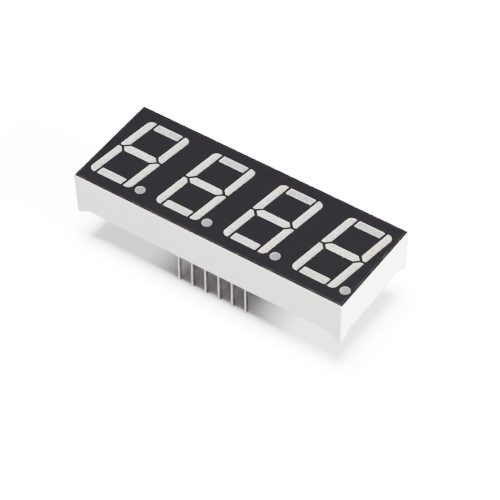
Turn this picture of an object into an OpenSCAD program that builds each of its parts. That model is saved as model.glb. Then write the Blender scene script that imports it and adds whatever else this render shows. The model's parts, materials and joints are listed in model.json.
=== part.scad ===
// Four-digit seven-segment numeric display with two rows of pins.
//
// X runs along the row of digits in reading order, Y towards the tops of the
// digits and Z out of the display face. The origin is the centre of the pin
// pattern, on the plane of the feet, where the module seats on its board.

/* [Digits] */
// Number of digits in the row
digit_count = 4; // [2:1:4]
// Distance from one digit's centre to the next
digit_pitch = 12.7; // [12.2:0.05:15.3]
// Height of a digit
digit_h = 14.2; // [11.8:0.1:17.1]
// Width of a digit, square to its slant
digit_w = 8.22; // [7:0.02:8.8]
// Lean of the digits to the right, in degrees
slant = 8; // [0:0.5:10]
// Thickness of the two upright bars
upright_t = 1.4; // [1.2:0.05:1.7]
// Thickness of the three level bars
level_t = 1.5; // [1.2:0.05:1.8]
// Black gap between neighbouring bars
bar_gap = 0.33; // [0.25:0.01:0.5]
// Corner cut of an upright bar, beside the middle bar
mitre = 0.78; // [0.6:0.02:1]
// Fillet radius at a digit's four outer corners
corner_r = 1; // [0.4:0.05:1.15]
// Diameter of a decimal point
dot_d = 1.8; // [1.5:0.05:2.1]
// Black gap between a digit and its decimal point
dot_gap = 0.52; // [0.3:0.02:0.7]
// Height of a decimal point's centre above the digit's foot
dot_rise = 0.7; // [0.5:0.05:1.5]

/* [Housing] */
// Height from the feet to the display face
body_h = 8.2; // [6.8:0.1:10]
// Face between the first or last digit's centre and the housing's end
end_margin = 6.1; // [6:0.05:9]
// Face above and below the digits
face_margin = 2.4; // [2.2:0.05:4]
// Thickness of the side walls
wall_t = 1.2; // [0.9:0.05:1.4]
// How far each side wall leans in at its foot
draft = 0.15; // [0:0.01:0.25]
// Depth of the upright band below the face, above the leaning walls
band_h = 1; // [0.5:0.1:2]
// Width of the sloping rim round the face
rim_w = 0.45; // [0.2:0.05:0.8]
// Drop of the sloping rim
rim_drop = 0.12; // [0.05:0.01:0.3]
// Thickness of the black film on the face
film_t = 0.05; // [0.03:0.01:0.1]
// Height of the four corner feet
foot_h = 1.1; // [0.6:0.05:1.5]
// Width of a foot along each wall, at its tip
foot_tip = 0.85; // [0.6:0.05:1.2]
// Width of a foot along each wall, at its root
foot_root = 2.4; // [1.6:0.05:3]

/* [Light cavities] */
// Straight depth of a cavity below the face
land_h = 1.2; // [0.6:0.1:1.6]
// Ledge between the straight depth and the funnel below it
ledge = 0.1; // [0.05:0.01:0.2]
// Length of a cavity's lower opening, along its bar
throat_l = 1.6; // [1.4:0.05:1.7]
// Width of a cavity's lower opening, across its bar
throat_w = 0.8; // [0.6:0.05:0.9]
// Offset of a decimal point's lower opening from its window, towards the digit
dot_shift = 0.6; // [0.5:0.05:0.8]

/* [Board and potting] */
// Thickness of the circuit board
board_t = 1; // [0.8:0.1:1.2]
// Gap round the board's edge
board_clear = 0.3; // [0.2:0.05:0.5]
// Resin between the board and the reflector above it
bed_t = 0.15; // [0.1:0.01:0.3]
// Resin behind the board
cover_t = 0.7; // [0.5:0.05:1]
// Depth of the resin's surface inside the lower edge of the walls
pour_recess = 0.4; // [0.2:0.05:0.6]

/* [Light emitters] */
// Side of an emitter chip
chip_w = 0.3; // [0.2:0.01:0.35]
// Height of an emitter chip
chip_h = 0.2; // [0.1:0.01:0.25]
// Diameter of a bond wire
wire_d = 0.03; // [0.02:0.005:0.04]
// Distance from a chip's centre to the far end of its bond wire
wire_span = 0.8; // [0.6:0.05:0.9]

/* [Pins] */
// Number of pins in a row
pins_per_row = 6; // [3:1:6]
// Pin spacing, which is also the grid of the two rows
pin_pitch = 2.54; // [2:0.01:2.54]
// Pin diameter
pin_d = 0.5; // [0.4:0.05:0.6]
// Extra thickness of a pin's root, all round, where the board grips it
root_swell = 0.05; // [0.03:0.01:0.08]
// Length of a pin's root that stands out of the resin
root_show = 0.3; // [0.1:0.05:0.35]
// Reach of a pin below the feet
pin_reach = 6.3; // [3:0.1:8]
// Chamfer at a pin's tip
tip_chamfer = 0.08; // [0.03:0.01:0.1]
// Gap between a pin's root and its hole in the board
hole_clear = 0.05; // [0.03:0.01:0.1]
// Least resin between a pin's root and the side wall
pin_edge = 0.3; // [0.2:0.05:0.35]

/* [Hidden] */
$fn = 48;

// Overrun of a cut past the face that it opens
cut = 1;

// Outside of the housing and its inner pocket
body_l = (digit_count - 1) * digit_pitch + 2 * end_margin;
body_w = digit_h + 2 * face_margin;
pocket_l = body_l - 2 * wall_t;
pocket_w = body_w - 2 * wall_t;

// Heights, from the feet up
pour_z = foot_h + pour_recess;
root_z = pour_z - root_show;
board_z = pour_z + cover_t;
chip_z = board_z + board_t;
web_z = chip_z + bed_t;
film_z = body_h - film_t;

// Pin rows on the widest whole number of pitches that the pocket takes
root_d = pin_d + 2 * root_swell;
row_room = pocket_w - root_d - 2 * pin_edge;
row_spacing = floor(row_room / pin_pitch) * pin_pitch;
board_l = pocket_l - 2 * board_clear;
board_w = pocket_w - 2 * board_clear;

// Half sizes of a digit, before it leans
half_w = digit_w / 2;
half_h = digit_h / 2;
inner_x = half_w - upright_t;
dot_y = dot_rise - half_h;
dot_x = half_w + dot_y * tan(slant) + dot_gap + dot_d / 2;

LEVEL_BARS = ["a", "d", "g"];
UPRIGHT_BARS = ["b", "c", "e", "f"];
DOT = "dp";
LAMPS = concat(LEVEL_BARS, UPRIGHT_BARS, [DOT]);
DIGITS = [1 : digit_count];
PINS = [1 : 2 * pins_per_row];

function led_name(digit, lamp) = str("led_", digit, "_", lamp);
function wires_name(digit) = str("bond_wires_", digit);
function pin_name(i) = str("pin_", i);

// ---- Layout ----

function digit_x(digit) = (digit - (digit_count + 1) / 2) * digit_pitch;

function is_upright(lamp) = len([for (bar = UPRIGHT_BARS) if (bar == lamp) bar]) == 1;

// Pins count along the near row and back along the far one
function near_row(i) = i <= pins_per_row;
function pin_step(i) = near_row(i) ? i : 2 * pins_per_row + 1 - i;
function pin_place(i) = [
    (pin_step(i) - (pins_per_row + 1) / 2) * pin_pitch,
    (near_row(i) ? -1 : 1) * row_spacing / 2
];

// Which side of the digit's centre a lamp lies on, across and up
function side_x(lamp) = lamp == "b" || lamp == "c" ? 1 : -1;
function side_y(lamp) = lamp == "a" || lamp == "b" || lamp == "f" ? 1 : -1;

function lean(p) = [p.x + p.y * tan(slant), p.y];

// Middle of each lamp's window
function lamp_place(lamp) =
    lamp == DOT ? [dot_x, dot_y]
    : lamp == "g" ? [0, 0]
    : is_upright(lamp) ? lean([
        side_x(lamp) * (half_w - upright_t / 2),
        side_y(lamp) * (half_h + bar_gap / 2) / 2
    ])
    : lean([0, side_y(lamp) * (half_h - level_t / 2)]);

function lamp_heading(lamp) = is_upright(lamp) ? 90 - slant : 0;

// ---- Outlines of the bars ----

// Fillet in an upper corner of the digit, from the bar's outer side round to
// its top: right where side is 1, left where it is -1
fillet_steps = 10;
fillet_y = half_h - corner_r;
function fillet_centre(side) =
    [side * (half_w - corner_r / cos(slant)) + fillet_y * tan(slant), fillet_y];
function fillet_angle(side, k) =
    let (start = side == 1 ? -slant : 180 - slant)
    start + (90 - start) * k / fillet_steps;
function fillet_points(side) = [for (k = [0 : fillet_steps])
    let (a = fillet_angle(side, k))
    fillet_centre(side) + corner_r * [cos(a), sin(a)]];

// Upper right or left bar
function upright_points(side) = concat(
    [lean([side * half_w, bar_gap / 2])],
    fillet_points(side),
    [
        lean([side * inner_x, half_h]),
        lean([side * inner_x, bar_gap / 2 + mitre]),
        lean([side * (inner_x + mitre), bar_gap / 2])
    ]
);

// Top bar, between the two uprights
top_x = inner_x - bar_gap;
function top_points() = [for (p = [
    [top_x, half_h], [-top_x, half_h],
    [-top_x, half_h - level_t], [top_x, half_h - level_t]
]) lean(p)];

// Middle bar, with pointed ends beside the uprights' corner cuts
middle_x = inner_x + mitre + bar_gap / 2 - bar_gap * sqrt(2);
shoulder_x = middle_x - level_t / 2;
function middle_points() = [for (p = [
    [middle_x, 0], [shoulder_x, level_t / 2], [-shoulder_x, level_t / 2],
    [-middle_x, 0], [-shoulder_x, -level_t / 2], [shoulder_x, -level_t / 2]
]) lean(p)];

// A half turn carries the upper bars of a digit on to its lower bars
function is_turned(lamp) = lamp == "c" || lamp == "d" || lamp == "e";
function turned(lamp, points) = is_turned(lamp) ? -points : points;
function upper_side(lamp) = is_turned(lamp) ? -side_x(lamp) : side_x(lamp);

function bar_points(lamp) = turned(
    lamp,
    lamp == "g" ? middle_points()
    : is_upright(lamp) ? upright_points(upper_side(lamp))
    : top_points()
);

// Length and width of the funnel's upper end, inside the window's sides
function mouth(lamp) =
    lamp == DOT ? [1, 1] * (dot_d - 2 * ledge) / sqrt(2)
    : lamp == "g" ? [2 * shoulder_x - level_t * tan(slant), level_t - 2 * ledge]
    : is_upright(lamp) ? [
        half_h - bar_gap / 2 - 2 * max(mitre, corner_r),
        upright_t * cos(slant) - 2 * ledge
    ]
    : [2 * (top_x - ledge) - level_t * tan(slant), level_t - 2 * ledge];

// Window of one lamp in the display face, about the digit's centre
module window(lamp) {
    if (lamp == DOT) translate(lamp_place(DOT)) circle(d = dot_d);
    else polygon(bar_points(lamp));
}

// ---- Solids shared by several pieces ----

module along_y(length) rotate([90, 0, 0]) linear_extrude(length, center = true) children();
module along_x(length) rotate([90, 0, 90]) linear_extrude(length, center = true) children();

module block(size, low) translate([-size.x / 2, -size.y / 2, low]) cube(size);

// ---- Light cavities, and the resin that fills them ----

land_z = film_z - land_h;
funnel_h = land_z - web_z;

// Middle of each funnel's lower opening, where the lamp's emitter lies
function throat_shift(lamp) = lamp == DOT ? dot_shift : 0;
function throat_place(lamp) = lamp_place(lamp) - [throat_shift(lamp), 0];

// Section of a funnel, standing on its lower opening, its upper end moved on
function funnel_profile(low, high, shift) = [
    [-low / 2, 0], [low / 2, 0],
    [shift + high / 2, funnel_h], [shift - high / 2, funnel_h]
];

module funnel(lamp) {
    size = mouth(lamp);
    shift = throat_shift(lamp);
    reach = max(throat_l, size.x) + 2 * shift + cut;
    intersection() {
        along_y(size.y + cut) polygon(funnel_profile(throat_l, size.x, shift));
        along_x(reach) polygon(funnel_profile(throat_w, size.y, 0));
    }
}

// Every cavity, open at the circuit board and cut off above the face at top
module cavities(top) {
    for (digit = DIGITS, lamp = LAMPS)
        translate([digit_x(digit), 0, 0]) {
            translate([0, 0, land_z]) linear_extrude(top - land_z) window(lamp);
            translate([throat_place(lamp).x, throat_place(lamp).y, web_z])
                rotate(lamp_heading(lamp)) funnel(lamp);
        }
}

// ---- Housing ----

// Section of the body: leaning walls, an upright band and a sloping rim
function wall_profile(half, top) = [
    [-half + draft, 0], [half - draft, 0],
    [half, film_z - band_h], [half, top - rim_drop],
    [half - rim_w, top], [-half + rim_w, top],
    [-half, top - rim_drop], [-half, film_z - band_h]
];

module body_block(top) {
    intersection() {
        along_y(body_w + 2 * cut) polygon(wall_profile(body_l / 2, top));
        along_x(body_l + 2 * cut) polygon(wall_profile(body_w / 2, top));
    }
}

// Space between two feet under a wall, with sloping ends
function between_feet(half) = [
    [-half + foot_root, foot_h], [half - foot_root, foot_h],
    [half - foot_tip, 0], [half - foot_tip, -cut],
    [-half + foot_tip, -cut], [-half + foot_tip, 0]
];

// White moulded housing, with a light cavity under each window
module reflector_housing() {
    color("whitesmoke") difference() {
        body_block(film_z);
        block([pocket_l, pocket_w, web_z + cut], -cut);
        cavities(film_z + cut);
        along_y(body_w + 2 * cut) polygon(between_feet(body_l / 2));
        along_x(body_l + 2 * cut) polygon(between_feet(body_w / 2));
    }
}

// Black film over the face and its sloping rim
module face_film() {
    color([0.17, 0.17, 0.18]) difference() {
        body_block(body_h);
        body_block(film_z);
        for (digit = DIGITS, lamp = LAMPS)
            translate([digit_x(digit), 0, land_z])
                linear_extrude(body_h - land_z + cut) window(lamp);
    }
}

// ---- Board, emitters and pins ----

module circuit_board() {
    color("darkkhaki") difference() {
        block([board_l, board_w, board_t], board_z);
        for (i = PINS)
            translate([pin_place(i).x, pin_place(i).y, board_z - cut])
                cylinder(d = root_d + 2 * hole_clear, h = board_t + 2 * cut);
    }
}

// Places its children on the board, under a lamp and along its bar
module at_lamp(digit, lamp) {
    spot = throat_place(lamp);
    translate([digit_x(digit) + spot.x, spot.y, chip_z])
        rotate(lamp_heading(lamp)) children();
}

module led_chip(digit, lamp) {
    color("gold") at_lamp(digit, lamp)
        translate([-wire_span / 2, 0, 0]) block([chip_w, chip_w, chip_h], 0);
}

// Looped wire, from the top of a chip over to the board
module bond_wire() {
    translate([0, 0, chip_h]) rotate([90, 0, 0])
        rotate_extrude(angle = 180) translate([wire_span / 2, 0]) circle(d = wire_d);
    translate([wire_span / 2, 0, 0]) cylinder(d = wire_d, h = chip_h);
}

module bond_wires(digit) {
    color("goldenrod") for (lamp = LAMPS) at_lamp(digit, lamp) bond_wire();
}

// Round pin: a chamfered tip, a plain shank and a thicker root in the board
module pin(i) {
    spot = pin_place(i);
    shank_z = tip_chamfer - pin_reach;
    color("silver") translate([spot.x, spot.y, 0]) {
        translate([0, 0, -pin_reach])
            cylinder(d1 = pin_d - 2 * tip_chamfer, d2 = pin_d, h = tip_chamfer);
        translate([0, 0, shank_z]) cylinder(d = pin_d, h = root_z - shank_z);
        translate([0, 0, root_z]) cylinder(d = root_d, h = chip_z - root_z);
    }
}

// Milky resin cast round the board, its chips and its pins, and up into
// every light cavity, flush with the face
module resin_fill() {
    color("gainsboro") difference() {
        union() {
            block([pocket_l, pocket_w, web_z - pour_z], pour_z);
            cavities(body_h);
        }
        circuit_board();
        for (digit = DIGITS) {
            for (lamp = LAMPS) led_chip(digit, lamp);
            bond_wires(digit);
        }
        for (i = PINS) pin(i);
    }
}

reflector_housing();
face_film();
resin_fill();
circuit_board();
for (digit = DIGITS) {
    for (lamp = LAMPS)
        led_chip(digit, lamp);
    bond_wires(digit);
}
for (i = PINS)
    pin(i);
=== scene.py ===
import json
import math

import bmesh
import bpy
from bpy.props import FloatProperty, FloatVectorProperty, IntProperty, PointerProperty
from mathutils import Matrix, Vector

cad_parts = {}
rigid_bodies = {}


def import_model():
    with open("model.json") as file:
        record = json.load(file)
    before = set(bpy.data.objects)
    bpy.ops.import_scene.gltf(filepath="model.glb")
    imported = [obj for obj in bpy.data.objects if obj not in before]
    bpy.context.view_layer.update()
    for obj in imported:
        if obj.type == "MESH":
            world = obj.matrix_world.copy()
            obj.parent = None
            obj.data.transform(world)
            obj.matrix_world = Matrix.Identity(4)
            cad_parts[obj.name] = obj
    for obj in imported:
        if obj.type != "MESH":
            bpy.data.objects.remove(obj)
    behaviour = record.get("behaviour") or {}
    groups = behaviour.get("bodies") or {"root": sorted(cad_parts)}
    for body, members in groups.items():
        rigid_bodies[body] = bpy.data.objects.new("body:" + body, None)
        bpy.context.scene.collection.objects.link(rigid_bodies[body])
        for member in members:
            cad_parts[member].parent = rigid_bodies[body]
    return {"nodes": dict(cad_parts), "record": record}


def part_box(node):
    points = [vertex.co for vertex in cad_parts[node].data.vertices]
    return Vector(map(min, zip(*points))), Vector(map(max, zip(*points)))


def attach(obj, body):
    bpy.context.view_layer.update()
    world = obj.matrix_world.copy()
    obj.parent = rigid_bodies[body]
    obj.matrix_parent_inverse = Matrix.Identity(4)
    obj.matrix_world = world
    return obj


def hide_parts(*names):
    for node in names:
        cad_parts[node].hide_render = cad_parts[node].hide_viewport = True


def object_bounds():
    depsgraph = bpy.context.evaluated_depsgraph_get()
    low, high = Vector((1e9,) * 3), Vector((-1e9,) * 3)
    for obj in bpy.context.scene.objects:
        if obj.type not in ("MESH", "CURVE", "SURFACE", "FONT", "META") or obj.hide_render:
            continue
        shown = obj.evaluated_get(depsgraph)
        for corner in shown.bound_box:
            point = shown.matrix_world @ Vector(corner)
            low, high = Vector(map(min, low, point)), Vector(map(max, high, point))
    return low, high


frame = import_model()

bl_info = {
    "name": "Seven Segment Display Looks",
    "version": (1, 0, 0),
    "blender": (4, 5, 0),
    "location": "3D View > Sidebar > Display",
    "description": "Finishes a packed four-digit display module with rounded, real surfaces",
    "category": "Object",
}

MM = 0.001
ROOT = "root"
NODES = frame["nodes"]

# Outside of the housing and the levels that the pieces share, from the frame
CAD_LOW, CAD_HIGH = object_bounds()
HALF_L, HALF_W = CAD_HIGH.x, CAD_HIGH.y
FACE_Z = CAD_HIGH.z
FLOOR_Z = CAD_LOW.z
POUR_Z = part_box("resin_fill")[0].z
BOARD_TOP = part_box("circuit_board")[1].z
PIN_NAMES = sorted(name for name in NODES if name.startswith("pin_"))
PIN_R = frame["record"]["mounts"][0]["dims"]["stud_r_mm"] * MM

# The walls' top edge under the film, the feet's roots, and the most that a wall leans
RIM_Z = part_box("face_film")[0].z
FOOT_Z = 1.1 * MM
DRAFT = 0.16 * MM
# The rim round the face slopes down by this much over this width
RIM_FALL = 0.12 * MM
RIM_WIDE = 0.45 * MM
# The ridge where the rim meets the face lies between these distances from the outside
RIDGE_OUTER = 0.3 * MM
RIDGE_INNER = 0.5 * MM

# The stage: the floor's side and each light's distance, and the room's two strengths
FLOOR_SIDE = 3
LIGHT_AWAY = 0.5
ROOM_DIM = 0.15
GLOW_BRIGHT = 3.8

# Places that agree within this are the same
NEAR = 0.005 * MM
# An edge that turns by more than this is a corner, in radians
CORNER = 0.35
# Every window that is narrower than this both ways is a decimal point's
DOT_WIDTH = 2 * MM


def linear(code):
    """Scene-linear red, green and blue of an sRGB hex colour."""
    parts = [int(code[i : i + 2], 16) / 255 for i in (0, 2, 4)]
    return [c / 12.92 if c <= 0.04045 else ((c + 0.055) / 1.055) ** 2.4 for c in parts]


def length(name, description, size_mm):
    """A length that the user can change, given in millimetres and kept in metres."""
    return FloatProperty(
        name=name,
        description=description,
        default=size_mm * MM,
        min=0,
        precision=6,
        subtype="DISTANCE",
        unit="LENGTH",
    )


def colour(name, description, code):
    """A colour that the user can change, from its sRGB hex value."""
    return FloatVectorProperty(
        name=name,
        description=description,
        default=linear(code),
        min=0,
        max=1,
        subtype="COLOR",
    )


# ---- Settings ----


class HousingSettings(bpy.types.PropertyGroup):
    """Sizes and colour of the moulded housing"""

    corner_r: length("Corner radius", "Radius of the four upright corners", 0.22)
    rim_r: length("Rim radius", "Radius of the walls' top edge", 0.2)
    foot_r: length("Foot radius", "Radius of the walls' lower edges and the feet", 0.07)
    root_r: length("Root reach", "Reach of the curve where a foot leaves its wall", 0.5)
    white: colour("White", "Colour of the moulded plastic", "E6E2E1")
    warm: colour("Warm", "Colour of the plastic where its melt flowed longest", "E1E2DA")


class FaceSettings(bpy.types.PropertyGroup):
    """Sizes and colours of the black face"""

    short: length("Short", "How far the ink stops from the outside of the walls", 0.1)
    lap: length("Lap", "How far the ink laps over the edge of the resin", 0.08)
    corner_r: length("Corner radius", "Radius of the ink's four corners", 0.14)
    ridge_r: length("Ridge width", "Width of the rounded ridge inside the rim", 0.1)
    black: colour("Black", "Colour of the ink", "181619")
    # The ridge colour is a painted highlight: lighter ink drawn along the face's ridge, in
    # patches
    ridge_highlight: colour("Scuff", "Colour of the ink where the ridge is rubbed", "363436")


class ResinSettings(bpy.types.PropertyGroup):
    """Sizes and colours of the cast resin"""

    sink: length("Sink", "Depth of a window's edge below the ink", 0.015)
    lip: length("Lip", "Width of the lip round a window", 0.22)
    dish: length("Dish", "Depth to which the resin shrinks in a window", 0.04)
    creep: length("Creep", "Reach of the resin where it wets a pin or a wall", 0.16)
    rise: length("Rise", "Height of the resin where it wets a pin or a wall", 0.12)
    # Lip colours: a painted highlight, the tilted lips drawn lighter than their bars and dots
    edge: colour("Edge", "Colour of the thin resin at a bar's lip", "E2E0DC")
    dot_edge: colour("Dot edge", "Colour of the thin resin at a dot's lip", "A5A3A7")
    bar: colour("Bar", "Colour of an upright bar and of the middle one", "C1BDB9")
    # Bottom bar, top bar and dot colours: painted shade, darker copies of one resin
    foot: colour("Foot bar", "Colour of the bottom bar", "B2AFAD")
    head: colour("Head bar", "Colour of the top bar", "A19E9F")
    dot: colour("Dot", "Colour of a decimal point", "77757A")
    back: colour("Back", "Colour of the resin behind the board", "CFCCC4")


class PinSettings(bpy.types.PropertyGroup):
    """Sizes and colour of the pins"""

    sides: IntProperty(
        name="Sides", description="Sides of a pin", default=32, min=12, max=64
    )
    tip_r: length("Tip radius", "Rounding of a pin's cut end", 0.09)
    root_show: length("Root", "Length of the root that stands out of the resin", 0.3)
    root_swell: length("Root swell", "Extra radius of the root", 0.05)
    tin: colour("Tin", "Colour of the tin plating", "C6C4C1")


class StageSettings(bpy.types.PropertyGroup):
    """Camera, lights and floor"""

    azimuth: FloatProperty(
        name="Azimuth",
        description="Direction of the camera round the module",
        default=math.radians(34.715),
        subtype="ANGLE",
        unit="ROTATION",
    )
    elevation: FloatProperty(
        name="Elevation",
        description="Height of the camera above the horizon",
        default=math.radians(46.776),
        subtype="ANGLE",
        unit="ROTATION",
    )
    roll: FloatProperty(
        name="Roll",
        description="Lean of the camera about its own line of sight",
        default=math.radians(-0.58),
        subtype="ANGLE",
        unit="ROTATION",
    )
    distance: length("Distance", "Distance from the camera to the face", 411.35)
    aside: length("Aside", "How far right of the face's centre the camera aims", 1.629)
    below: length("Below", "How far below the face's centre the camera aims", 7.397)
    lens: FloatProperty(
        name="Lens",
        description="Focal length of the lens, in millimetres",
        default=190.58,
        min=1,
    )
    floor: colour("Floor", "Colour of the floor", "B4B3B6")


class DisplaySettings(bpy.types.PropertyGroup):
    """All the settings of the display module"""

    housing: PointerProperty(type=HousingSettings)
    face: PointerProperty(type=FaceSettings)
    resin: PointerProperty(type=ResinSettings)
    pins: PointerProperty(type=PinSettings)
    stage: PointerProperty(type=StageSettings)


# ---- Materials ----


# A colour mix's inputs and its output by number, because a mix of values has the same names
SHARE, FIRST, SECOND = 0, 6, 7
MIXED = 2


def add(tree, kind, inputs, **settings):
    """Adds a node with its settings.

    Each input is a value to set, an output to link, or a node to link by its first output.
    """
    node = tree.nodes.new("ShaderNode" + kind)
    for name, value in settings.items():
        setattr(node, name, value)
    for key, value in inputs.items():
        if isinstance(value, bpy.types.Node):
            value = value.outputs[0]
        if isinstance(value, bpy.types.NodeSocket):
            tree.links.new(value, node.inputs[key])
        else:
            node.inputs[key].default_value = value
    return node


def start_material(name):
    """An empty material, its node tree, and its object coordinates in millimetres."""
    material = bpy.data.materials.new(name)
    material.use_nodes = True
    tree = material.node_tree
    tree.nodes.clear()
    inputs = {0: add(tree, "TexCoord", {}).outputs["Object"], 1: [1 / MM] * 3}
    return material, tree, add(tree, "VectorMath", inputs, operation="MULTIPLY")


def finish_material(material, tree, surface):
    """Joins a surface with those inputs to the material's output, and returns it."""
    shader = add(tree, "BsdfPrincipled", surface)
    add(tree, "OutputMaterial", {"Surface": shader})
    return material


def shade(rgb, share):
    """A colour made lighter or darker, with its alpha."""
    return [min(1.0, c * share) for c in rgb] + [1.0]


def moulded_plastic(white, warm):
    """White glass-filled polycarbonate, injection moulded.

    The pigment makes it flat and even, the finely sparked mould leaves a soft sheen, and
    slow flow of the melt leaves faint warm clouds that are some millimetres across.
    """
    material, tree, place = start_material("moulded_polycarbonate")
    clouds = add(tree, "TexNoise", {"Vector": place, "Scale": 1 / 13.0, "Detail": 2.0})
    warmth = add(tree, "MapRange", {"Value": clouds, "From Min": 0.35, "From Max": 0.65})
    tints = {SHARE: warmth, FIRST: shade(white, 1), SECOND: shade(warm, 1)}
    base = add(tree, "Mix", tints, data_type="RGBA")
    # The mould's grain is about 0.05 mm, and is drawn at 0.25 mm so that it shows
    sparks = add(tree, "TexNoise", {"Vector": place, "Scale": 1 / 0.25, "Detail": 5.0})
    bump = add(tree, "Bump", {"Height": sparks, "Distance": 0.004 * MM, "Strength": 0.35})
    sheen = add(
        tree,
        "MapRange",
        {"Value": sparks, "From Min": 0.3, "From Max": 0.7, "To Min": 0.36, "To Max": 0.48},
    )
    surface = {
        "Base Color": base.outputs[MIXED],
        "Roughness": sheen,
        "IOR": 1.58,
        "Subsurface Weight": 0.08,
        "Subsurface Radius": (0.6 * MM, 0.55 * MM, 0.5 * MM),
        "Subsurface Scale": 1.0,
        "Normal": bump,
    }
    return finish_material(material, tree, surface)


def screen_ink(black, ridge_highlight):
    """Black screen-printing ink, baked on the face.

    It dries satin with a fine tooth, and the ridge round it is painted a little lighter in
    patches, a painted highlight.
    """
    material, tree, place = start_material("black_screen_ink")
    # The screen's mesh leaves marks finer than 0.1 mm, drawn at 0.18 mm so that they show
    tooth = add(tree, "TexNoise", {"Vector": place, "Scale": 1 / 0.18, "Detail": 4.0})
    bump = add(tree, "Bump", {"Height": tooth, "Distance": 0.004 * MM, "Strength": 0.3})
    smears = add(tree, "TexNoise", {"Vector": place, "Scale": 1 / 5.0, "Detail": 2.0})
    sheen = add(
        tree,
        "MapRange",
        {"Value": smears, "From Min": 0.3, "From Max": 0.7, "To Min": 0.38, "To Max": 0.46},
    )
    # A painted highlight on the ridge alone, where the rim falls away from the face, broken
    # into patches
    height = add(tree, "SeparateXYZ", {0: place}).outputs["Z"]
    top = FACE_Z / MM
    levels = (
        {"From Min": top - 0.008, "From Max": top - 0.002, "To Min": 1, "To Max": 0},
        {"From Min": top - 0.05, "From Max": top - 0.03},
    )
    below_face, above_rim = (
        add(tree, "MapRange", {"Value": height, **level}) for level in levels
    )
    ridge = add(tree, "Math", {0: below_face, 1: above_rim}, operation="MULTIPLY")
    highlight_breakup = add(tree, "TexNoise", {"Vector": place, "Scale": 1 / 1.6, "Detail": 4.0})
    patches = add(
        tree,
        "MapRange",
        {"Value": highlight_breakup, "From Min": 0.4, "From Max": 0.65, "To Min": 0.25, "To Max": 1},
    )
    highlit = add(tree, "Math", {0: ridge, 1: patches}, operation="MULTIPLY")
    tints = {SHARE: highlit, FIRST: shade(black, 1), SECOND: shade(ridge_highlight, 1)}
    base = add(tree, "Mix", tints, data_type="RGBA")
    # Ink has an IOR of about 1.5. This is lower, to match how little the face mirrors
    surface = {
        "Base Color": base.outputs[MIXED],
        "Roughness": sheen,
        "IOR": 1.33,
        "Normal": bump,
    }
    return finish_material(material, tree, surface)


def cast_epoxy(name, rgb, speck_mm, contrast, roughness):
    """Clear epoxy filled with a white diffusing powder, cast in place.

    The powder settles unevenly, which gives a fine speckle, and the cured skin is smooth.
    """
    material, tree, place = start_material(name)
    # Clumps of powder are finer than 0.1 mm, and are drawn at speck_mm so that they show
    powder = add(tree, "TexNoise", {"Vector": place, "Scale": 1 / speck_mm, "Detail": 2.0})
    specks = add(tree, "MapRange", {"Value": powder, "From Min": 0.35, "From Max": 0.65})
    tints = {SHARE: specks, FIRST: shade(rgb, 1 - contrast), SECOND: shade(rgb, 1 + contrast)}
    even = add(tree, "Mix", tints, data_type="RGBA").outputs[MIXED]
    # Amine in the hardener yellows it faintly, in patches
    yellow = add(tree, "VectorMath", {0: even, 1: (1.0, 0.992, 0.78)}, operation="MULTIPLY")
    amine = add(tree, "TexNoise", {"Vector": place, "Scale": 1 / 5.0, "Detail": 2.0})
    patches = add(tree, "MapRange", {"Value": amine, "From Min": 0.45, "From Max": 0.65})
    base = add(tree, "Mix", {SHARE: patches, FIRST: even, SECOND: yellow}, data_type="RGBA")
    skin = add(tree, "TexNoise", {"Vector": place, "Scale": 0.5 / speck_mm, "Detail": 3.0})
    bump = add(tree, "Bump", {"Height": skin, "Distance": 0.006 * MM, "Strength": 0.3})
    surface = {
        "Base Color": base.outputs[MIXED],
        "Roughness": roughness,
        "IOR": 1.53,
        "Subsurface Weight": 0.08,
        "Subsurface Radius": (0.5 * MM, 0.45 * MM, 0.4 * MM),
        "Subsurface Scale": 1.0,
        "Normal": bump,
    }
    return finish_material(material, tree, surface)


def tinned_wire(tin):
    """Steel wire with a copper flash and matt tin plate, drawn and cut to length.

    Drawing leaves fine streaks along the wire, and the tin dulls them in patches.
    """
    material, tree, place = start_material("tinned_steel_wire")
    # Drawing streaks are a few hundredths of a millimetre wide, drawn at 0.09 mm to show
    along = add(tree, "VectorMath", {0: place, 1: (1, 1, 0.06)}, operation="MULTIPLY")
    streaks = add(tree, "TexNoise", {"Vector": along, "Scale": 1 / 0.09, "Detail": 4.0})
    bump = add(tree, "Bump", {"Height": streaks, "Distance": 0.008 * MM, "Strength": 0.4})
    sheen = add(
        tree,
        "MapRange",
        {"Value": streaks, "From Min": 0.3, "From Max": 0.7, "To Min": 0.26, "To Max": 0.42},
    )
    dulling = add(tree, "TexNoise", {"Vector": place, "Scale": 1 / 0.9, "Detail": 3.0})
    patches = add(tree, "MapRange", {"Value": dulling, "From Min": 0.35, "From Max": 0.65})
    tints = {SHARE: patches, FIRST: shade(tin, 0.86), SECOND: shade(tin, 1.08)}
    base = add(tree, "Mix", tints, data_type="RGBA")
    surface = {
        "Base Color": base.outputs[MIXED],
        "Metallic": 1.0,
        "Roughness": sheen,
        "Normal": bump,
    }
    return finish_material(material, tree, surface)


def woven_laminate():
    """Glass cloth in epoxy under a green-brown solder mask, pressed into a board.

    The cloth's threads, every 0.5 mm, show through as a faint weave.
    """
    material, tree, place = start_material("glass_epoxy_laminate")
    # At this scale the bands come every 0.5 mm
    threads = {"Vector": place, "Scale": 0.63, "Distortion": 0.4}
    warp, weft = (
        add(tree, "TexWave", threads, bands_direction=way).outputs[1] for way in ("X", "Y")
    )
    weave = add(tree, "Math", {0: warp, 1: weft}, operation="MAXIMUM")
    dark, light = (shade(linear(code), 1) for code in ("6B6234", "8C8248"))
    base = add(tree, "Mix", {SHARE: weave, FIRST: dark, SECOND: light}, data_type="RGBA")
    surface = {"Base Color": base.outputs[MIXED], "Roughness": 0.45, "IOR": 1.5}
    return finish_material(material, tree, surface)


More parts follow.
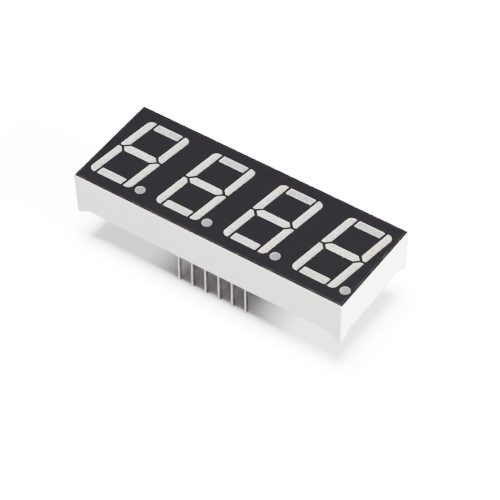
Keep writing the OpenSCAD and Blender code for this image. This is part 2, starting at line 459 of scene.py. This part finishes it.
def emitter_crystal():
    """Sawn gallium phosphide crystal: amber, glassy and a little uneven where it broke."""
    material, tree, place = start_material("gallium_phosphide_crystal")
    breaks = add(tree, "TexNoise", {"Vector": place, "Scale": 1 / 0.06, "Detail": 3.0})
    amber, deep = (shade(linear(code), 1) for code in ("D99A3C", "B5701F"))
    base = add(tree, "Mix", {SHARE: breaks, FIRST: amber, SECOND: deep}, data_type="RGBA")
    surface = {"Base Color": base.outputs[MIXED], "Roughness": 0.2, "IOR": 2.4}
    return finish_material(material, tree, surface)


def drawn_gold():
    """Gold wire, drawn very fine: a warm soft metal with faint streaks."""
    material, tree, place = start_material("drawn_gold_wire")
    streaks = add(tree, "TexNoise", {"Vector": place, "Scale": 1 / 0.02, "Detail": 3.0})
    pale, warm = (shade(linear(code), 1) for code in ("E8C66B", "D2A748"))
    base = add(tree, "Mix", {SHARE: streaks, FIRST: pale, SECOND: warm}, data_type="RGBA")
    surface = {"Base Color": base.outputs[MIXED], "Metallic": 1.0, "Roughness": 0.25}
    return finish_material(material, tree, surface)


def matt_paper(rgb):
    """Grey backdrop paper, pressed from pulp: matt, with a very faint cloud in it."""
    material, tree, place = start_material("matt_backdrop_paper")
    clouds = add(tree, "TexNoise", {"Vector": place, "Scale": 1 / 60.0, "Detail": 2.0})
    tints = {SHARE: clouds, FIRST: shade(rgb, 0.99), SECOND: shade(rgb, 1.01)}
    base = add(tree, "Mix", tints, data_type="RGBA")
    surface = {"Base Color": base.outputs[MIXED], "Roughness": 0.9}
    return finish_material(material, tree, surface)


# ---- Modelling ----


def take(piece):
    """Makes a piece the only selected object, and the active one."""
    bpy.ops.object.select_all(action="DESELECT")
    bpy.context.view_layer.objects.active = piece
    piece.select_set(True)


def enter_edit(piece):
    """Opens a piece in edit mode with all of it selected."""
    take(piece)
    bpy.ops.object.mode_set(mode="EDIT")
    bpy.ops.mesh.select_all(action="SELECT")


def leave_edit():
    """Goes back to object mode."""
    bpy.ops.object.mode_set(mode="OBJECT")


def pick(piece, kind, test):
    """Selects only the corners, edges or faces of the open piece that pass a test."""
    bpy.ops.mesh.select_mode(type=kind)
    bpy.ops.mesh.select_all(action="DESELECT")
    mesh = bmesh.from_edit_mesh(piece.data)
    for part in {"VERT": mesh.verts, "EDGE": mesh.edges, "FACE": mesh.faces}[kind]:
        if test(part):
            part.select_set(True)
    mesh.select_flush_mode()
    bmesh.update_edit_mesh(piece.data)


def all_at(part, test):
    """True if every corner of an edge or face passes a test on its place."""
    return all(test(corner.co) for corner in part.verts)


def turns(edge):
    """True if an edge is a real corner, and not a line across a flat side."""
    return edge.is_manifold and edge.calc_face_angle() > CORNER


def copy_of_node(node, name):
    """A new piece with a node's shape, its triangles joined into whole faces."""
    piece = bpy.data.objects.new(name, NODES[node].data.copy())
    bpy.context.scene.collection.objects.link(piece)
    enter_edit(piece)
    bpy.ops.mesh.customdata_custom_splitnormals_clear()
    bpy.ops.mesh.remove_doubles(threshold=0.0001 * MM)
    bpy.ops.mesh.dissolve_limited(angle_limit=math.radians(0.2))
    leave_edit()
    piece.data.materials.clear()
    return piece


def smooth(piece, degrees):
    """Shades a piece smooth, with sharp edges kept where it turns by more."""
    take(piece)
    bpy.ops.object.shade_smooth_by_angle(angle=math.radians(degrees))


def even_normals(piece):
    """Turns the shading of rounded edges to follow the flat sides that they join."""
    take(piece)
    tidy = piece.modifiers.new("even", "WEIGHTED_NORMAL")
    tidy.keep_sharp = True
    bpy.ops.object.modifier_apply(modifier=tidy.name)


def hand_over(piece, node):
    """Puts a finished piece in the place of its node."""
    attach(piece, ROOT)
    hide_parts(node)


def inside(co, gap):
    """True further in from the four outer walls than a gap."""
    return abs(co.x) < HALF_L - gap and abs(co.y) < HALF_W - gap


def on_outside(co):
    """True on the four outer walls of the body."""
    return not inside(co, DRAFT)


def at_corner(co, reach):
    """True within reach of the four upright corners of the body."""
    return abs(co.x) > HALF_L - reach and abs(co.y) > HALF_W - reach


def is_upright_corner(edge):
    """True for an edge that runs down one of the body's four corners."""
    drop = abs(edge.verts[0].co.z - edge.verts[1].co.z)
    return drop > NEAR and all_at(edge, lambda co: at_corner(co, DRAFT))


def is_rim(edge):
    """True for the top edge of the walls."""
    return all_at(edge, lambda co: on_outside(co) and abs(co.z - RIM_Z) < NEAR)


def is_foot(edge):
    """True for every edge of the feet, and for the lower edges of the walls."""
    return all_at(edge, lambda co: co.z < FOOT_Z + NEAR)


def is_foot_root(edge):
    """True for the hollow edge where a foot leaves the lower edge of a wall."""
    return not edge.is_convex and all_at(edge, lambda co: abs(co.z - FOOT_Z) < NEAR)


def is_ridge(edge):
    """True for the ridge between the face and its sloping rim."""
    return all_at(
        edge,
        lambda co: abs(co.z - FACE_Z) < NEAR
        and inside(co, RIDGE_OUTER)
        and not inside(co, RIDGE_INNER),
    )


def is_window_side(face):
    """True for an upright side of a window in the ink."""
    upright = abs(face.normal.z) < 0.1
    return upright and all_at(face, lambda co: inside(co, RIDGE_INNER))


class DISPLAY_OT_housing(bpy.types.Operator):
    """Rounds the housing's edges, curves its feet's roots, and gives it its plastic"""

    bl_idname = "display_module.housing"
    bl_label = "Housing"

    def execute(self, context):
        settings = context.scene.display_module.housing
        piece = copy_of_node("reflector_housing", "moulded_housing")
        enter_edit(piece)
        pick(piece, "EDGE", is_upright_corner)
        bpy.ops.mesh.bevel(offset=settings.corner_r, segments=4)
        for test, radius in (
            (is_rim, settings.rim_r),
            (is_foot_root, settings.root_r),
            (is_foot, settings.foot_r),
        ):
            pick(piece, "EDGE", lambda edge: turns(edge) and test(edge))
            bpy.ops.mesh.bevel(offset=radius, segments=3)
        leave_edit()
        smooth(piece, 40)
        even_normals(piece)
        piece.data.materials.append(moulded_plastic(settings.white, settings.warm))
        hand_over(piece, "reflector_housing")
        return {"FINISHED"}


class DISPLAY_OT_face(bpy.types.Operator):
    """Rounds the ridge of the black face and its corners, and gives it its ink"""

    bl_idname = "display_module.face"
    bl_label = "Face"

    def execute(self, context):
        settings = context.scene.display_module.face
        piece = copy_of_node("face_film", "black_face")
        enter_edit(piece)
        # The ink stops short of the walls, where the rim is rounded
        short = settings.short
        pick(piece, "VERT", lambda corner: on_outside(corner.co))
        bpy.ops.transform.resize(
            value=((HALF_L - short) / HALF_L, (HALF_W - short) / HALF_W, 1),
            center_override=(0, 0, 0),
        )
        bpy.ops.transform.translate(value=(0, 0, RIM_FALL / RIM_WIDE * short))
        pick(
            piece,
            "EDGE",
            lambda edge: turns(edge)
            and abs(edge.verts[0].co.x - edge.verts[1].co.x) < NEAR
            and all_at(edge, lambda co: at_corner(co, 2 * short)),
        )
        bpy.ops.mesh.bevel(offset=settings.corner_r, segments=3)
        pick(piece, "EDGE", is_ridge)
        bpy.ops.mesh.bevel(offset=settings.ridge_r, segments=3)
        # The ink laps over the edge of the resin, all round each window
        pick(piece, "FACE", is_window_side)
        bpy.ops.transform.shrink_fatten(value=settings.lap, use_even_offset=True)
        leave_edit()
        smooth(piece, 25)
        even_normals(piece)
        piece.data.materials.append(screen_ink(settings.black, settings.ridge_highlight))
        hand_over(piece, "face_film")
        return {"FINISHED"}


# The finishes of the resin, in the order of its material slots. The top bar, bottom bar and
# dot finishes are darker copies of the bar's, painted shade, and the two edge finishes lighter
# ones, a painted highlight
BAR, SHADED_FOOT_BAR, SHADED_HEAD_BAR, DOT, EDGE_HIGHLIGHT, DOT_EDGE_HIGHLIGHT, BACK = range(7)


def finish_of(face, points):
    """Which finish a face of the resin takes, from its size and place. Top bars, bottom bars
    and dots take darker colours, painted shade.
    """
    corners = [points[i].co for i in face.vertices]
    if all(co.z < BOARD_TOP for co in corners):
        return BACK
    xs, ys = [co.x for co in corners], [co.y for co in corners]
    wide, high, middle_y = max(xs) - min(xs), max(ys) - min(ys), (max(ys) + min(ys)) / 2
    if max(wide, high) < DOT_WIDTH:
        return DOT
    if wide > high and abs(middle_y) > HALF_W / 2:
        return SHADED_HEAD_BAR if middle_y > 0 else SHADED_FOOT_BAR
    return BAR


class DISPLAY_OT_resin(bpy.types.Operator):
    """Dishes the resin in each window, wets it up the pins, and gives it its finishes"""

    bl_idname = "display_module.resin"
    bl_label = "Resin"

    def execute(self, context):
        settings = context.scene.display_module.resin
        piece = copy_of_node("resin_fill", "cast_resin")
        # Millimetres across a speck, their contrast, and the roughness of the skin
        window, lip, back = (0.26, 0.42, 0.4), (0.3, 0.15, 0.35), (0.6, 0.06, 0.45)
        for name, rgb, skin in (
            ("bar_epoxy", settings.bar, window),
            # The bottom bar, top bar and dot colours are painted shade, darker copies of the
            # same resin
            ("shaded_foot_bar_epoxy", settings.foot, window),
            ("shaded_head_bar_epoxy", settings.head, window),
            ("shaded_dot_epoxy", settings.dot, window),
            # The two lip colours are a painted highlight, lighter copies of the resin on its
            # tilted faces
            ("edge_highlight_epoxy", settings.edge, lip),
            ("dot_edge_highlight_epoxy", settings.dot_edge, lip),
            ("potting_epoxy", settings.back, back),
        ):
            piece.data.materials.append(cast_epoxy(name, rgb, *skin))
        for face in piece.data.polygons:
            face.material_index = finish_of(face, piece.data.vertices)
        enter_edit(piece)
        pick(piece, "FACE", lambda face: all_at(face, lambda co: co.z > FACE_Z - NEAR))
        bpy.ops.transform.translate(value=(0, 0, -settings.sink))
        # Steep at the ink, and flatter further in
        for share, fall in ((0.4, 0.6), (0.6, 0.4)):
            bpy.ops.mesh.inset(thickness=share * settings.lip, depth=-fall * settings.dish)
        pick(piece, "FACE", lambda face: all_at(face, lambda co: co.z < POUR_Z + NEAR))
        # Steep against the pin or the wall, and flatter further out
        for reach, rise in ((0.2, 0.45), (0.3, 0.35), (0.5, 0.2)):
            bpy.ops.mesh.inset(thickness=reach * settings.creep, depth=-rise * settings.rise)
        leave_edit()
        # The lips are the faces near the top that tilt, and are neither sides nor floors. For
        # their tilt they take a lighter colour, a painted highlight
        low = FACE_Z - settings.sink - settings.dish - NEAR
        for face in piece.data.polygons:
            if face.center.z > low and 0.2 < face.normal.z < 0.999:
                face.material_index = DOT_EDGE_HIGHLIGHT if face.material_index == DOT else EDGE_HIGHLIGHT
        smooth(piece, 40)
        even_normals(piece)
        hand_over(piece, "resin_fill")
        return {"FINISHED"}


class DISPLAY_OT_pins(bpy.types.Operator):
    """Models one tinned pin and copies it to every pin's place"""

    bl_idname = "display_module.pins"
    bl_label = "Pins"

    def execute(self, context):
        settings = context.scene.display_module.pins
        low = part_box(PIN_NAMES[0])[0].z
        root_z = POUR_Z - settings.root_show
        bpy.ops.object.select_all(action="DESELECT")
        bpy.ops.mesh.primitive_cylinder_add(
            vertices=settings.sides,
            radius=PIN_R,
            depth=root_z - low,
            location=(0, 0, (root_z + low) / 2),
        )
        first = context.object
        bpy.ops.object.transform_apply()
        enter_edit(first)
        pick(first, "EDGE", lambda edge: all_at(edge, lambda co: co.z < low + NEAR))
        bpy.ops.mesh.bevel(offset=settings.tip_r, segments=4)
        pick(first, "FACE", lambda face: all_at(face, lambda co: co.z > root_z - NEAR))
        # The shoulder spreads as far as it rises, and the root goes straight up from it
        shoulder = settings.root_swell
        root = BOARD_TOP - root_z - shoulder
        for rise, size in ((shoulder, (PIN_R + shoulder) / PIN_R), (root, 1)):
            bpy.ops.mesh.extrude_region_move(TRANSFORM_OT_translate={"value": (0, 0, rise)})
            bpy.ops.transform.resize(value=(size, size, 1))
        leave_edit()
        smooth(first, 40)
        first.data.materials.append(tinned_wire(settings.tin))
        for name in PIN_NAMES:
            node_low, node_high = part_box(name)
            middle = (node_low + node_high) / 2
            piece = bpy.data.objects.new("tinned_" + name, first.data.copy())
            context.scene.collection.objects.link(piece)
            piece.data.transform(Matrix.Translation((middle.x, middle.y, 0)))
            hand_over(piece, name)
        bpy.data.objects.remove(first)
        return {"FINISHED"}


class DISPLAY_OT_buried(bpy.types.Operator):
    """Gives the board, the emitters and their wires their finishes"""

    bl_idname = "display_module.buried"
    bl_label = "Buried parts"

    def execute(self, context):
        finishes = {
            "circuit_board": woven_laminate(),
            "led_": emitter_crystal(),
            "bond_wires_": drawn_gold(),
        }
        for name, node in NODES.items():
            for start, material in finishes.items():
                if name.startswith(start):
                    node.material_slots[0].material = material
        return {"FINISHED"}


def turn_to(azimuth, elevation):
    """A turn that points an object's own +Z that way from the module, in radians."""
    upright = Matrix.Rotation(math.pi / 2 - elevation, 4, "X")
    return Matrix.Rotation(azimuth, 4, "Z") @ upright


def hang_light(light, azimuth, elevation, lit):
    """Hangs a light that way from the module, in degrees, to light one collection."""
    lamp = bpy.data.objects.new(light.name, light)
    bpy.context.scene.collection.objects.link(lamp)
    turn = turn_to(math.radians(azimuth), math.radians(elevation))
    lamp.matrix_world = turn @ Matrix.Translation((0, 0, LIGHT_AWAY))
    lamp.light_linking.receiver_collection = lit
    return lamp


class DISPLAY_OT_stage(bpy.types.Operator):
    """Sets the floor, the soft lights and the camera"""

    bl_idname = "display_module.stage"
    bl_label = "Stage"

    def execute(self, context):
        settings = context.scene.display_module.stage
        bpy.ops.object.select_all(action="DESELECT")
        bpy.ops.mesh.primitive_plane_add(size=FLOOR_SIDE, location=(0, 0, FLOOR_Z))
        floor = context.object
        floor.name = "floor"
        floor.data.materials.append(matt_paper(settings.floor))

        # Paper lit this hard would flood the module, so only the camera sees it
        floor.visible_diffuse = False
        floor.visible_glossy = False

        self.light_room(context)
        self.aim_lights(context, floor)
        self.aim_camera(context, settings)
        return {"FINISHED"}

    @staticmethod
    def light_room(context):
        """A dim room above the floor, and a soft glow from below, brighter at the left."""
        world = bpy.data.worlds.new("studio")
        context.scene.world = world
        world.use_nodes = True
        tree = world.node_tree
        tree.nodes.clear()
        way = add(tree, "TexCoord", {})
        up = add(tree, "SeparateXYZ", {0: way}).outputs["Z"]
        above = add(tree, "MapRange", {"Value": up, "From Min": -0.15, "From Max": 0.05})
        # How far a direction points to the left of the camera
        left = add(tree, "VectorMath", {0: way, 1: (-0.82, -0.57, 0)}, operation="DOT_PRODUCT")
        below = add(
            tree,
            "MapRange",
            {
                "Value": left.outputs["Value"],
                "From Min": 0.05,
                "From Max": 0.7,
                "To Min": ROOM_DIM,
                "To Max": GLOW_BRIGHT,
            },
        )
        glow = add(tree, "Mix", {0: above, 2: below, 3: ROOM_DIM})
        lit = {"Color": (0.96, 0.93, 1.0, 1.0), "Strength": glow}
        add(tree, "OutputWorld", {"Surface": add(tree, "Background", lit)})

    @staticmethod
    def aim_lights(context, floor):
        """Suns for the floor alone, and softboxes round the module for the rest."""
        module = bpy.data.collections.new("lit_by_softboxes")
        paper = bpy.data.collections.new("lit_by_suns")
        paper.objects.link(floor)
        for item in context.scene.objects:
            if item.type == "MESH" and item != floor:
                module.objects.link(item)

        # Name, azimuth, elevation and width in degrees, and strength. The side ones
        # reach under the ends of the module, so that it is darkest round the pins, and
        # the low front one keeps that from going black
        for name, azimuth, elevation, width, strength in (
            ("overhead", 0, 89, 30, 90),
            ("floor_right", 90, 28, 16, 46),
            ("floor_left", 268, 27, 13, 18),
            ("floor_front", 0, 10, 20, 2.2),
        ):
            sun = bpy.data.lights.new(name, "SUN")
            sun.energy = strength
            sun.angle = math.radians(width)
            hang_light(sun, azimuth, elevation, paper)

        # Name, azimuth and elevation in degrees, side in metres, watts, and whether gloss
        # shows it. The low ones would turn the black face white when it is seen edge on
        for name, azimuth, elevation, side, watts, shines in (
            ("front_softbox", -10, 45, 0.3, 6.4, True),
            ("right_softbox", 87, 10, 0.16, 25, False),
            ("back_softbox", 165, 14, 0.2, 5, False),
            ("left_softbox", 265, 14, 0.2, 5, False),
        ):
            softbox = bpy.data.lights.new(name, "AREA")
            softbox.size = side
            softbox.energy = watts
            hang_light(softbox, azimuth, elevation, module).visible_glossy = shines

    @staticmethod
    def aim_camera(context, settings):
        """Puts the camera at its angle and distance from the face's centre."""
        camera = bpy.data.cameras.new("camera")
        camera.lens = settings.lens
        camera.clip_start = 10 * MM
        eye = bpy.data.objects.new("camera", camera)
        context.scene.collection.objects.link(eye)
        roll = Matrix.Rotation(settings.roll, 4, "Z")
        turn = turn_to(settings.azimuth, settings.elevation) @ roll
        offset = Vector((settings.aside, -settings.below, settings.distance))
        centre = Vector((0, 0, FACE_Z))
        eye.matrix_world = Matrix.Translation(centre + turn @ offset) @ turn
        context.scene.camera = eye


class DISPLAY_PT_panel(bpy.types.Panel):
    """Lists the display module's pieces and its stage"""

    bl_idname = "DISPLAY_PT_panel"
    bl_label = "Display module"
    bl_space_type = "VIEW_3D"
    bl_region_type = "UI"
    bl_category = "Display"

    def draw(self, context):
        settings = context.scene.display_module
        for operator, group in (
            (DISPLAY_OT_housing, settings.housing),
            (DISPLAY_OT_face, settings.face),
            (DISPLAY_OT_resin, settings.resin),
            (DISPLAY_OT_pins, settings.pins),
            (DISPLAY_OT_buried, None),
            (DISPLAY_OT_stage, settings.stage),
        ):
            box = self.layout.box()
            box.operator(operator.bl_idname)
            if group:
                for name in group.__annotations__:
                    box.prop(group, name)


CLASSES = (
    HousingSettings,
    FaceSettings,
    ResinSettings,
    PinSettings,
    StageSettings,
    DisplaySettings,
    DISPLAY_OT_housing,
    DISPLAY_OT_face,
    DISPLAY_OT_resin,
    DISPLAY_OT_pins,
    DISPLAY_OT_buried,
    DISPLAY_OT_stage,
    DISPLAY_PT_panel,
)


def register():
    """Adds the settings, the operators and the panel."""
    for kind in CLASSES:
        bpy.utils.register_class(kind)
    bpy.types.Scene.display_module = PointerProperty(type=DisplaySettings)


def unregister():
    """Takes them away again."""
    del bpy.types.Scene.display_module
    for kind in reversed(CLASSES):
        bpy.utils.unregister_class(kind)


def main():
    register()
    bpy.ops.display_module.housing()
    bpy.ops.display_module.face()
    bpy.ops.display_module.resin()
    bpy.ops.display_module.pins()
    bpy.ops.display_module.buried()
    bpy.ops.display_module.stage()


if __name__ == "__main__":
    main()
